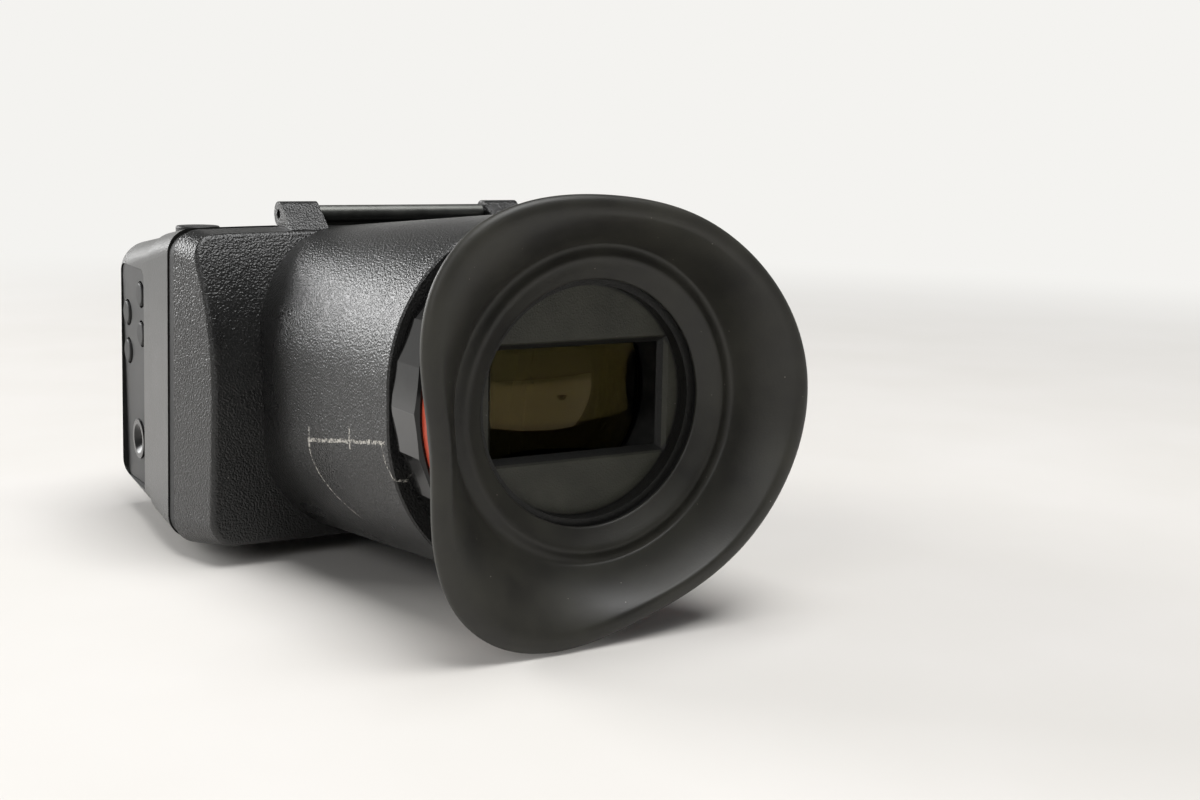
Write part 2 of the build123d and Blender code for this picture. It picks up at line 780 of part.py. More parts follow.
housing -= disc(collar_r, collar_y, tube_front_y)
foot_plane = Plane(origin=(0, 0, axis_z), x_dir=(0, 1, 0), z_dir=(1, 0, 0))
knuckle_edge = (Pos(hinge_y, hinge_z) * Circle(knuckle_r)).edges()
foot_front_y = flange_y - knuckle_foot
foot_edge = Line((foot_front_y, seam_top), (flange_y - 2 * seat_gap, seam_top)).edges()
knuckle = extrude(foot_plane * make_hull(knuckle_edge + foot_edge), amount=knuckle_out - knuckle_in)
for x in (knuckle_in, -knuckle_out):
    foot = box(x, x + knuckle_out - knuckle_in, foot_front_y, flange_y, seam_top - foot_sunk, seam_top)
    housing += Pos(x, 0, 0) * knuckle + foot
housing -= rod_x(pin_r + pin_run, -knuckle_out, knuckle_out, hinge_y, hinge_z)
for side in (-1, 1):
    housing -= disc(magnet_r + seat_gap, flange_y, gasket_y - magnet_long, side * magnet_x, magnet_z)
bite_y = collar_back_y - barrel_bite
for angle in around(barrel_screw_count, barrel_screw_start):
    housing -= turn(angle) * disc(barrel_screw_r, collar_back_y, bite_y, barrel_screw_ring)
parts["magnifier_housing"] = housing

# Gasket and magnets in the seam
gasket = loft([
    casing(
        y, seam_half_low - gasket_side, seam_half_high - gasket_side,
        seam_top - gasket_top, seam_bottom + gasket_side, crown, seam_corner - gasket_side,
    )
    for y in (flange_y, gasket_y)
])
port_face = casing(flange_y, port_half, port_half, port_top, port_bottom, crown, port_corner)
gasket -= extrude(port_face, amount=-gasket_thick)
for side in (-1, 1):
    gasket -= disc(magnet_r + seat_gap, gasket_y, flange_y, side * magnet_x, magnet_z)
parts["seam_gasket"] = gasket
magnets = [disc(magnet_r, gasket_y, gasket_y - magnet_long, s * magnet_x, magnet_z) for s in (-1, 1)]
parts["magnets"] = Compound(magnets)

# Eyepiece barrel with straight slots for the cam pins
wall_back = collar_back_y - aperture_y
guide = turned(
    (barrel_r_in, barrel_front), (barrel_r_out, barrel_front), (barrel_r_out, wall_back),
    (barrel_flange_r, wall_back), (barrel_flange_r, wall_back + barrel_flange),
    (barrel_r_in, wall_back + barrel_flange),
)
slot_half = cam_pin_r + cam_gap
slot_reach = cam_travel / 2 + slot_half
cam_y = aperture_y + cam_back
for angle in around(cam_count):
    slot = box(barrel_r_in - 1, cam_pin_out, cam_y - slot_reach, cam_y + slot_reach, -slot_half, slot_half)
    guide -= turn(angle) * slot
barrel_screws = []
flange_back_y = collar_back_y + barrel_flange
for angle in around(barrel_screw_count, barrel_screw_start):
    guide -= turn(angle) * disc(barrel_screw_r + screw_gap, flange_back_y, collar_back_y, barrel_screw_ring)
    bolt = screw(barrel_screw_r, barrel_flange + barrel_bite - seat_gap, barrel_head_r, barrel_head)
    barrel_screws.append(turn(angle) * towards_rear(barrel_screw_ring, flange_back_y, 0) * bolt)
parts["eyepiece_barrel"] = guide
parts["barrel_screws"] = Compound(barrel_screws)

# Focus ring: flat facets outside, helical cam grooves inside
spigot_back_y = collar_y - collar_gap
facet_back = tube_back - collar_gap
ring_front_y = aperture_y + ring_front
facets = slab(RegularPolygon(ring_r, ring_facets), aperture_y + facet_back, ring_front_y)
bevelled = turned(
    (0, ring_front), (ring_r - ring_bevel, ring_front), (ring_r, ring_front + ring_bevel),
    (ring_r, facet_back - ring_bevel), (ring_r - ring_bevel, facet_back), (0, facet_back),
)
ring = (facets & bevelled) + disc(collar_r - collar_gap, spigot_back_y, aperture_y + facet_back)
ring -= disc(barrel_r_out + run_gap, spigot_back_y, ring_front_y)
ring -= disc(ring_mouth_r, ring_front_y + ring_mouth_deep, ring_front_y)
groove_in = barrel_r_out - cam_floor_gap
groove_out = cam_pin_out + cam_floor_gap
cam_lead = cam_travel * 360.0 / cam_turn
groove_turn = cam_turn + 2 * math.degrees(slot_half / barrel_r_out)
groove_long = cam_lead * groove_turn / 360.0
path = Helix(cam_lead, groove_long, (groove_in + groove_out) / 2)
start = Plane(origin=path @ 0, x_dir=(1, 0, 0), z_dir=path % 0)
groove = sweep(start * Rectangle(groove_out - groove_in, 2 * slot_half), path=path, is_frenet=True)
centred = Rot(-90, 0, 0) * Pos(0, 0, -groove_long / 2) * Rot(0, 0, -groove_turn / 2) * groove
for angle in around(cam_count):
    ring -= turn(angle) * Pos(0, cam_y, axis_z) * centred
parts["focus_ring"] = ring

# Accent ring, pressed into the front of the focus ring
accent = turned(
    (ring_mouth_r, ring_front - accent_thick), (accent_r, ring_front - accent_thick),
    (accent_r, ring_front), (ring_mouth_r, ring_front),
)
parts["accent_ring"] = chamfer(accent.edges().group_by(Axis.Y)[0].sort_by(SortBy.LENGTH)[-1:], accent_soft)


def lens(flat, radius, edge, forward):
    # A plano-convex lens with its flat face at one depth and its dome to the front or the rear.
    side = -1 if forward else 1
    y_flat = aperture_y + flat
    y_edge = y_flat + side * edge
    y_top = y_edge + side * sag(radius, lens_r)
    y_mid = y_top - side * sag(radius, lens_r / 2)
    outline = Line((0, y_flat), (lens_r, y_flat)) + Line((lens_r, y_flat), (lens_r, y_edge))
    outline += ThreePointArc((lens_r, y_edge), (lens_r / 2, y_mid), (0, y_top))
    outline += Line((0, y_top), (0, y_flat))
    return revolve(Pos(0, 0, axis_z) * make_face(outline), optical_axis, 360)


# Lens cell with both lenses, their spacer, lock ring and cam pins
front_edge = front_lens_vertex + sag(front_lens_radius, lens_r)
front_flat = front_edge + front_lens_edge
rear_flat = front_flat + spacer_thick
rear_edge = rear_flat + rear_lens_edge
cell_r = barrel_r_in - run_gap
bore_r = lens_r + lens_gap
lip_seat = front_lens_vertex + sag(front_lens_radius, cell_lip_r) - seat_gap / 2
cell = turned(
    (cell_r, cell_front), (cell_r, cell_back), (bore_r, cell_back),
    (bore_r, front_edge - seat_gap / 2), (cell_lip_r, lip_seat), (cell_lip_r, lip_seat - cell_lip),
    (cell_mouth_r, cell_front),
)
cam_pins = []
for angle in around(cam_count):
    pin = turn(angle) * rod_x(cam_pin_r, cam_pin_in, cam_pin_out, cam_y, 0)
    cell -= pin
    cam_pins.append(pin)
parts["lens_cell"] = cell
parts["cam_pins"] = Compound([pin.solid() for pin in cam_pins])
parts["front_lens"] = lens(front_flat, front_lens_radius, front_lens_edge, True)
parts["rear_lens"] = lens(rear_flat, rear_lens_radius, rear_lens_edge, False)
spacer_r = lens_r - spacer_wall
parts["lens_spacer"] = turned(
    (spacer_r, front_flat), (lens_r, front_flat), (lens_r, rear_flat), (spacer_r, rear_flat)
)
lock_seat = rear_edge + sag(rear_lens_radius, lens_r) - sag(rear_lens_radius, spacer_r) + seat_gap / 2
parts["lock_ring"] = turned(
    (spacer_r, lock_seat), (lens_r, rear_edge + seat_gap / 2),
    (lens_r, rear_edge + lock_ring), (spacer_r, rear_edge + lock_ring),
)

# Mask plate: a dished disc with a bevelled sight in its middle
mask = disc(mask_r, aperture_y + mask_back, aperture_y + barrel_front)
mask -= disc(mask_bore_r, aperture_y + mask_face, aperture_y + barrel_front)
sight_front = (across(aperture_y + mask_face) * Rectangle(sight_w, sight_h)).face()
sight = Rectangle(sight_w - 2 * sight_bevel, sight_h - 2 * sight_bevel)
sight_back = across(aperture_y + mask_back) * sight
mask -= loft([sight_back.face(), sight_front])
parts["mask_plate"] = mask

# Retainer that keeps the mask in the barrel and the eyecup holder on it
retainer_front = barrel_front - retainer_thick
parts["retainer_ring"] = turned(
    (retainer_r_in, retainer_front), (retainer_r_out, retainer_front),
    (retainer_r_out, barrel_front), (retainer_r_in, barrel_front),
)
holder_face = barrel_front + holder_play
holder_in = barrel_r_out + run_gap
holder = turned(
    (holder_in, holder_back), (holder_r, holder_back), (holder_r, holder_shelf),
    (holder_flange_r, holder_shelf), (holder_flange_r, holder_shelf - holder_flange),
    (holder_flange_in, holder_shelf - holder_flange), (holder_flange_in, holder_face),
    (holder_in, holder_face),
)
parts["eyecup_holder"] = holder


def rim_radius(angle):
    # The rim seen from the front: nearly round, with a brow corner and a larger cheek corner.
    r = rim_r
    for k, (even, odd) in enumerate(rim_waves, 1):
        r += even * math.cos(math.radians(k * angle)) + odd * math.sin(math.radians(k * angle))
    return r


def cup_section(ahead, base_r, share, inset):
    # A closed curve part of the way from a circle to the rim's outline.
    points = []
    for i in range(rim_points):
        angle = 360.0 * i / rim_points
        r = mix(base_r, rim_radius(angle) - inset, share)
        points.append((r * math.cos(math.radians(angle)), r * math.sin(math.radians(angle))))
    return (across(aperture_y - ahead) * make_face(Spline(*points, periodic=True))).face()


# Eyecup: a flared bowl of soft rubber with a rolled lip, around a thin ring that frames the aperture
outside = [cup_section(-cup_root_back, cup_root_r, 0, 0)]
outside += [cup_section(ahead, flare_r, share, 0) for ahead, share in cup_outside]
shoulder_ahead, shoulder_inset = cup_shoulder
outside.append(cup_section(shoulder_ahead, flare_r, 1, shoulder_inset))
outside.append(cup_section(rim_ahead, flare_r, 1, lip_round))
inside = [
    cup_section(ahead, valley_r, share, lip_crest)
    for ahead, share in ((bowl_edge, 0), *cup_inside, (rim_ahead, 1))
]
cup = loft(outside) - loft(inside)
cup -= turned(
    (0, -annulus_proud), (bowl_step_r, -annulus_proud),
    (bowl_edge_r, -bowl_edge - seat_gap), (0, -bowl_edge - seat_gap),
)
cup -= disc(aperture_r, aperture_y + cup_root_back, aperture_y - annulus_proud)
cup -= disc(holder_flange_in, aperture_y + cup_root_back, aperture_y + annulus_proud)
cup -= turned(
    (holder_flange_in - seat_gap, holder_shelf), (holder_flange_r + seat_gap, holder_shelf),
    (holder_flange_r + seat_gap, holder_shelf - holder_flange),
    (holder_flange_in - seat_gap, holder_shelf - holder_flange),
)
parts["eyecup"] = cup

os.makedirs("parts", exist_ok=True)
for name, shape in parts.items():
    export_step(shape, f"parts/{name}.step")
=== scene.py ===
# The looks of a monitor-type electronic viewfinder: black moulded casings, a soft rubber
# eyecup, a faceted focus ring and coated lenses, on a plain pale floor in soft studio light.
import math

import bmesh
import bpy
from mathutils import Matrix, Vector


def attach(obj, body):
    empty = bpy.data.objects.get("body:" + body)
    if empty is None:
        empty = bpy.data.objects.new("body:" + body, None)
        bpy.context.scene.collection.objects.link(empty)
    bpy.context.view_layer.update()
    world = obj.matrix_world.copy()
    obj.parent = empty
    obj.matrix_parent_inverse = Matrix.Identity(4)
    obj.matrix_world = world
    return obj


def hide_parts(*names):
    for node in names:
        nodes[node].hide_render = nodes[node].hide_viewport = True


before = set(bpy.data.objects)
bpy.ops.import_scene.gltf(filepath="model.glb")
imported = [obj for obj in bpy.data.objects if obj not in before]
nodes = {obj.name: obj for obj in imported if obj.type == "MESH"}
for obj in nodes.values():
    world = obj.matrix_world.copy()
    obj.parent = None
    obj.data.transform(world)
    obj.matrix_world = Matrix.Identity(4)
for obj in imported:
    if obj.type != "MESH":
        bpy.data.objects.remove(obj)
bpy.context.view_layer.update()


# Monitor casing: a front frame and a rear cover, injection-moulded in black ABS. The mould's
# spark-eroded face gives a fine grain, and handling has worn it to a satin that mirrors softly.
MM = 0.001  # in metres, the unit of the frame


def linear(code):
    """An sRGB hex colour as linear red, green, blue and alpha."""
    shares = [int(code[i : i + 2], 16) / 255 for i in (1, 3, 5)]
    return [s / 12.92 if s <= 0.04045 else ((s + 0.055) / 1.055) ** 2.4 for s in shares] + [1.0]


def grey(value):
    """A linear grey with full alpha."""
    return (value, value, value, 1.0)


def per_mm(width):
    """The scale of a pattern whose cells are that many millimetres wide."""
    return 1 / (width * MM)


def node(tree, kind, inputs, stops=(), **settings):
    """Adds a node. An input is a value, or the (node, output) that is linked to it.

    Sockets whose names repeat or say little go by number: the operands of Math and VectorMath,
    0 (share), 6 and 7 (colours) of Mix, 0 (value), 1 and 2 (from), 3 and 4 (to) of MapRange.
    """
    made = tree.nodes.new("ShaderNode" + kind)
    for name, value in settings.items():
        setattr(made, name, value)
    for name, value in inputs.items():
        if isinstance(value, tuple) and isinstance(value[0], bpy.types.Node):
            tree.links.new(value[0].outputs[value[1]], made.inputs[name])
        else:
            made.inputs[name].default_value = value
    for element, (place, colour) in zip(made.color_ramp.elements if stops else (), stops):
        element.position, element.color = place, colour
    return made


def material(name, sockets, linked):
    """A new material: linked makes its nodes and says which of them drive the shader."""
    made = bpy.data.materials.new(name)
    made.use_nodes = True
    tree = made.node_tree
    shader = tree.nodes["Principled BSDF"]
    for socket, value in sockets.items():
        shader.inputs[socket].default_value = value
    spot = (node(tree, "TexCoord", {}), "Object")
    for socket, (source, output) in linked(tree, spot).items():
        tree.links.new(source.outputs[output], shader.inputs[socket])
    return made


def dress(made, *names):
    """Gives CAD nodes a material in place of their own."""
    for name in names:
        nodes[name].data.materials.clear()
        nodes[name].data.materials.append(made)


def moulded(name, code, worn_code, grain, depth, gloss, worn_gloss):
    """Moulded ABS with wear and dust. Its grain's width and depth are in millimetres."""
    def linked(tree, spot):
        tones = ((0.36, linear(code)), (0.72, linear(worn_code)))
        sheens = ((0.3, grey(gloss)), (0.7, grey(worn_gloss)))
        wear = node(tree, "TexNoise", {"Vector": spot, "Scale": per_mm(18), "Detail": 5})
        tone = node(tree, "ValToRGB", {0: (wear, 0)}, tones)
        cells = node(tree, "TexVoronoi", {"Vector": spot, "Scale": per_mm(5.5)})
        speck = node(tree, "ValToRGB", {0: (cells, 0)}, ((0.016, grey(0.30)), (0.026, grey(0))))
        dusty = {0: (speck, 0), 6: (tone, 0), 7: linear("#8f8b84")}
        colour = node(tree, "Mix", dusty, data_type="RGBA")
        fine = {"Vector": spot, "Scale": per_mm(grain), "Detail": 2, "Roughness": 0.55}
        grains = node(tree, "TexNoise", fine)
        relief = node(tree, "Bump", {"Height": (grains, 0), "Distance": depth * MM})
        sheen = node(tree, "ValToRGB", {0: (wear, 0)}, sheens)
        return {"Base Color": (colour, 2), "Roughness": (sheen, 0), "Normal": (relief, 0)}
    return material(name, {"IOR": 1.5}, linked)


satin_abs = moulded("satin_moulded_abs", "#171716", "#20201e", 0.4, 0.05, 0.27, 0.34)
dress(satin_abs, "front_frame", "rear_cover")


# Control panel and power button: a satin ABS plate let into the cover's left side with a thin
# groove round it, and a round button with a soft edge in the top of the frame.
panel_abs = moulded("satin_panel_abs", "#131313", "#1a1a19", 0.28, 0.012, 0.46, 0.55)
dress(panel_abs, "control_panel", "power_button")


# Headphone and power sockets, and the switches behind the keys: moulded in black nylon with
# polished faces. The headphone socket catches a bright ring of light round the plug's hole.
gloss_nylon = moulded("polished_black_nylon", "#0b0b0b", "#121212", 1.2, 0.004, 0.22, 0.3)
dress(gloss_nylon, "headphone_jack", "power_socket", "key_switches", "power_switch")


# Keys: four round rubber caps, nearly flush with the panel. Rubber is matt and scatters light
# from its bloom, and it holds dust.
def rubbery(name, code, bloom_code, grain, depth, gloss):
    """Moulded rubber: a fine grain, cloudy bloom, and dust 0.2 to 0.3 millimetres wide."""
    def linked(tree, spot):
        tones = ((0.33, linear(code)), (0.7, linear(bloom_code)))
        sheens = ((0.3, grey(gloss)), (0.7, grey(gloss + 0.1)))
        bloom = node(tree, "TexNoise", {"Vector": spot, "Scale": per_mm(12), "Detail": 6})
        tone = node(tree, "ValToRGB", {0: (bloom, 0)}, tones)
        cells = node(tree, "TexVoronoi", {"Vector": spot, "Scale": per_mm(3.0)})
        speck = node(tree, "ValToRGB", {0: (cells, 0)}, ((0.03, grey(0.5)), (0.045, grey(0))))
        dusty = {0: (speck, 0), 6: (tone, 0), 7: linear("#a09a8f")}
        colour = node(tree, "Mix", dusty, data_type="RGBA")
        grains = node(tree, "TexNoise", {"Vector": spot, "Scale": per_mm(grain), "Detail": 3})
        relief = node(tree, "Bump", {"Height": (grains, 0), "Distance": depth * MM})
        sheen = node(tree, "ValToRGB", {0: (bloom, 0)}, sheens)
        return {"Base Color": (colour, 2), "Roughness": (sheen, 0), "Normal": (relief, 0)}
    return material(name, {"IOR": 1.5, "Specular IOR Level": 0.4}, linked)


key_rubber = rubbery("moulded_key_rubber", "#0e0e0e", "#131312", 0.3, 0.01, 0.5)
dress(key_rubber, "key_1", "key_2", "key_3", "key_4")


# Screen: a sheet of polished glass in front of an unlit liquid-crystal panel, nearly black with
# a cold tint. Polishing leaves it clear, and fingers leave a faint haze.
def hazy_glass(tree, spot):
    haze = node(tree, "TexNoise", {"Vector": spot, "Scale": per_mm(9), "Detail": 4})
    sheen = node(tree, "ValToRGB", {0: (haze, 0)}, ((0.4, grey(0.02)), (0.8, grey(0.08))))
    return {"Roughness": (sheen, 0)}


clear_pane = {"Base Color": linear("#ccd2d6"), "IOR": 1.52, "Transmission Weight": 1.0}
dress(material("polished_screen_glass", clear_pane, hazy_glass), "display_glass")


def unlit_film(tree, spot):
    tones = ((0.3, linear("#0c0e12")), (0.7, linear("#13161b")))
    cloud = node(tree, "TexNoise", {"Vector": spot, "Scale": per_mm(20)})
    tone = node(tree, "ValToRGB", {0: (cloud, 0)}, tones)
    return {"Base Color": (tone, 0)}


dress(material("unlit_display_film", {"Roughness": 0.2}, unlit_film), "lcd_panel")


# Fasteners, chassis and metal fittings: plating is cloudy and anodising is even, and both show
# in how the roughness varies from place to place.
def metallic(name, code, worn_code, cloud, gloss, worn_gloss):
    """A bare, plated or anodised metal, with clouds of that width in millimetres."""
    def linked(tree, spot):
        tones = ((0.3, linear(code)), (0.7, linear(worn_code)))
        sheens = ((0.25, grey(gloss)), (0.75, grey(worn_gloss)))
        clouds = node(tree, "TexNoise", {"Vector": spot, "Scale": per_mm(cloud), "Detail": 5})
        tone = node(tree, "ValToRGB", {0: (clouds, 0)}, tones)
        sheen = node(tree, "ValToRGB", {0: (clouds, 0)}, sheens)
        etch = node(tree, "TexNoise", {"Vector": spot, "Scale": per_mm(0.3)})
        relief = node(tree, "Bump", {"Height": (etch, 0), "Distance": 0.004 * MM})
        return {"Base Color": (tone, 0), "Roughness": (sheen, 0), "Normal": (relief, 0)}
    return material(name, {"Metallic": 1.0}, linked)


zinc = metallic("zinc_plated_steel", "#8f9192", "#a5a7a8", 4.0, 0.3, 0.45)
dress(zinc, "chassis_tray")
nickel = metallic("nickel_plated_steel", "#96948e", "#aaa8a2", 3.0, 0.2, 0.3)
dress(nickel, "magnet_keepers", "magnets")
ground_steel = metallic("ground_steel", "#77787a", "#8c8d8e", 2.0, 0.2, 0.3)
dress(ground_steel, "cam_pins", "hinge_pin")
black_steel = metallic("black_oxide_steel", "#2a2a2b", "#39393a", 1.5, 0.28, 0.4)
dress(black_steel, "tray_screws", "barrel_screws")
black_aluminium = metallic("black_anodised_aluminium", "#2c2c2c", "#383837", 3.0, 0.3, 0.4)
dress(black_aluminium, "eyepiece_barrel", "lens_cell", "lens_spacer", "lock_ring")
blasted = metallic("bead_blasted_black_aluminium", "#5e5f5c", "#6a6b68", 3.0, 0.4, 0.5)
dress(blasted, "hinge_bar")
bright_nickel = metallic("bright_nickel_plating", "#a8a49a", "#c2beb4", 3.0, 0.16, 0.28)
dress(bright_nickel, "video_sockets", "data_socket")


# Cover, hinge and base screws: black steel cap screws, cold-headed with a hexagon socket. The
# solid screws are plain, so these stand for them, on the same seats and with the same sizes.
AXIS_Z = 38.4  # the optical axis over the underside of the base plate, in millimetres
SCREW_STEPS = 24
CHAMFER = 0.3  # at the point and on the head, in millimetres


def cap_screws(name, replaced, places, outward, size, length):
    """Screws with hexagon sockets. A place is the underside of a head, in millimetres."""
    head_r, head, shank_r = size
    key_r, key_lip, point_r = 0.52 * head_r, 0.12, 0.02
    # Radius and height of each ring, and whether it is a hexagon
    profile = (
        (point_r, -length, False), (shank_r, -length + CHAMFER, False), (shank_r, 0.0, False),
        (head_r, 0.0, False), (head_r, head - CHAMFER, False), (head_r - 0.25, head, False),
        (key_r + key_lip, head, True), (key_r, head - key_lip, True),
        (key_r, 0.35 * head, True), (point_r, 0.3 * head, False),
    )
    made = bmesh.new()
    turn = outward.to_track_quat("Z", "Y").to_matrix().to_4x4()
    for place in places:
        shift = Matrix.Translation(Vector(place) * MM) @ turn
        rings = []
        for r, z, six in profile:
            ring = []
            for i in range(SCREW_STEPS):
                angle = 2 * math.pi * i / SCREW_STEPS
                flat = math.cos(math.pi / 6) / math.cos(angle % (math.pi / 3) - math.pi / 6)
                reach = r * (flat if six else 1.0)
                spot = Vector((reach * math.cos(angle), reach * math.sin(angle), z)) * MM
                ring.append(made.verts.new(shift @ spot))
            rings.append(ring)
        for below, above in zip(rings, rings[1:]):
            for i in range(SCREW_STEPS):
                j = (i + 1) % SCREW_STEPS
                made.faces.new((below[i], below[j], above[j], above[i]))
        made.faces.new(list(reversed(rings[0])))
        made.faces.new(rings[-1])
    mesh = bpy.data.meshes.new(name)
    made.to_mesh(mesh)
    made.free()
    mesh.materials.append(black_steel)
    screws = bpy.data.objects.new(name, mesh)
    bpy.context.scene.collection.objects.link(screws)
    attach(screws, "monitor")
    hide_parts(replaced)


# Radius and height of the head, and radius of the shank
large_cap, small_cap = (2.3, 1.6, 1.2), (1.6, 1.0, 0.8)
backward, upward, downward = Vector((0, 1, 0)), Vector((0, 0, 1)), Vector((0, 0, -1))
cover_heads = [(x, 15.4, AXIS_Z + z) for x in (-28.0, 28.0) for z in (11.0, -25.0)]
cap_screws("cover_cap_screws", "rear_screws", cover_heads, backward, large_cap, 27.4)
hinge_heads = [(x, -22.1, 64.6) for x in (-12.0, 12.0)]
cap_screws("hinge_cap_screws", "hinge_screws", hinge_heads, upward, small_cap, 3.0)
base_heads = [(x, y, 2.1) for x in (-16.5, 16.5) for y in (-7.0, 7.0)]
cap_screws("base_cap_screws", "base_plate_screws", base_heads, downward, large_cap, 6.8)


# Base plate: a black anodised block with a thread for a mounting screw. The thread's pitch shows
# as rings of light on the wall of its hole.
THREAD_PITCH = 1.27
THREAD_REACH = 2.75  # how far from its axis the wall of the hole may lie, in millimetres


def threaded_anodising(tree, spot):
    tones = ((0.3, linear("#202021")), (0.7, linear("#2b2b2c")))
    clouds = node(tree, "TexNoise", {"Vector": spot, "Scale": per_mm(3), "Detail": 5})
    tone = node(tree, "ValToRGB", {0: (clouds, 0)}, tones)
    sheen = node(tree, "ValToRGB", {0: (clouds, 0)}, ((0.25, grey(0.3)), (0.75, grey(0.42))))
    place = node(tree, "SeparateXYZ", {0: spot})
    flat = node(tree, "CombineXYZ", {"X": (place, "X"), "Y": (place, "Y")})
    off_axis = node(tree, "VectorMath", {0: (flat, 0)}, operation="LENGTH")
    reach = {0: (off_axis, "Value"), 1: THREAD_REACH * MM}
    in_hole = node(tree, "Math", reach, operation="LESS_THAN")
    # A wave of scale 1 repeats every pi / 10
    pitch = {"Vector": spot, "Scale": math.pi / 10 / (THREAD_PITCH * MM)}
    turns = node(tree, "TexWave", pitch, bands_direction="Z")
    crest = node(tree, "Math", {0: (turns, 1), 1: (in_hole, 0)}, operation="MULTIPLY")
    relief = node(tree, "Bump", {"Height": (crest, 0), "Distance": 0.3 * MM})
    return {"Base Color": (tone, 0), "Roughness": (sheen, 0), "Normal": (relief, 0)}


base_aluminium = material("anodised_base_aluminium", {"Metallic": 1.0}, threaded_anodising)
dress(base_aluminium, "base_plate")


# Circuit boards: glass-fibre epoxy under green solder mask, with a weave just under a millimetre
# wide that shows through it.
def woven_epoxy(tree, spot):
    tones = ((0.4, linear("#12401f")), (0.6, linear("#184d28")))
    weave = node(tree, "TexNoise", {"Vector": spot, "Scale": per_mm(0.9)})
    tone = node(tree, "ValToRGB", {0: (weave, 0)}, tones)
    return {"Base Color": (tone, 0)}


solder_mask = material("green_solder_mask", {"Roughness": 0.35, "IOR": 1.5}, woven_epoxy)
dress(solder_mask, "main_board", "key_board")


# Magnifier housing: the same ABS in a mould with a leather-like grain, which breaks a highlight
# up into sparks. It is drawn 0.4 mm wide, coarser than the real grain, so that it shows. A rubbed
# line and the thin scratches that hang from it cross the left side.
SCUFFS = (
    # A mark lies where share_y * y + share_z * z + offset is nearly nought, in millimetres. The
    # bend moves it with the square of its depth below the top, and it reaches half its length
    # either way from its middle, along Y or Z.
    # share_y, share_z, offset, bend, top, half length, middle, along, half width
    (0.149, 1.0, -18.13, 0.0, 31.0, 14.4, -77.8, "Y", 0.34),
    (1.0, 0.0, 63.7, 0.056, 27.6, 6.6, 21.0, "Z", 0.14),
    (1.0, 0.0, 91.0, 0.056, 31.7, 4.8, 26.9, "Z", 0.14),
    (1.0, 0.0, 64.0, 0.0, 28.0, 1.8, 28.2, "Z", 0.24),
    (1.0, 0.0, 79.5, 0.0, 30.0, 2.0, 30.6, "Z", 0.24),
)
LEFT_SIDE_X = -20.0
SHAKE = 2.2  # the unevenness that the marks follow, and the share of it that they take
SHAKE_SHARE = 0.35


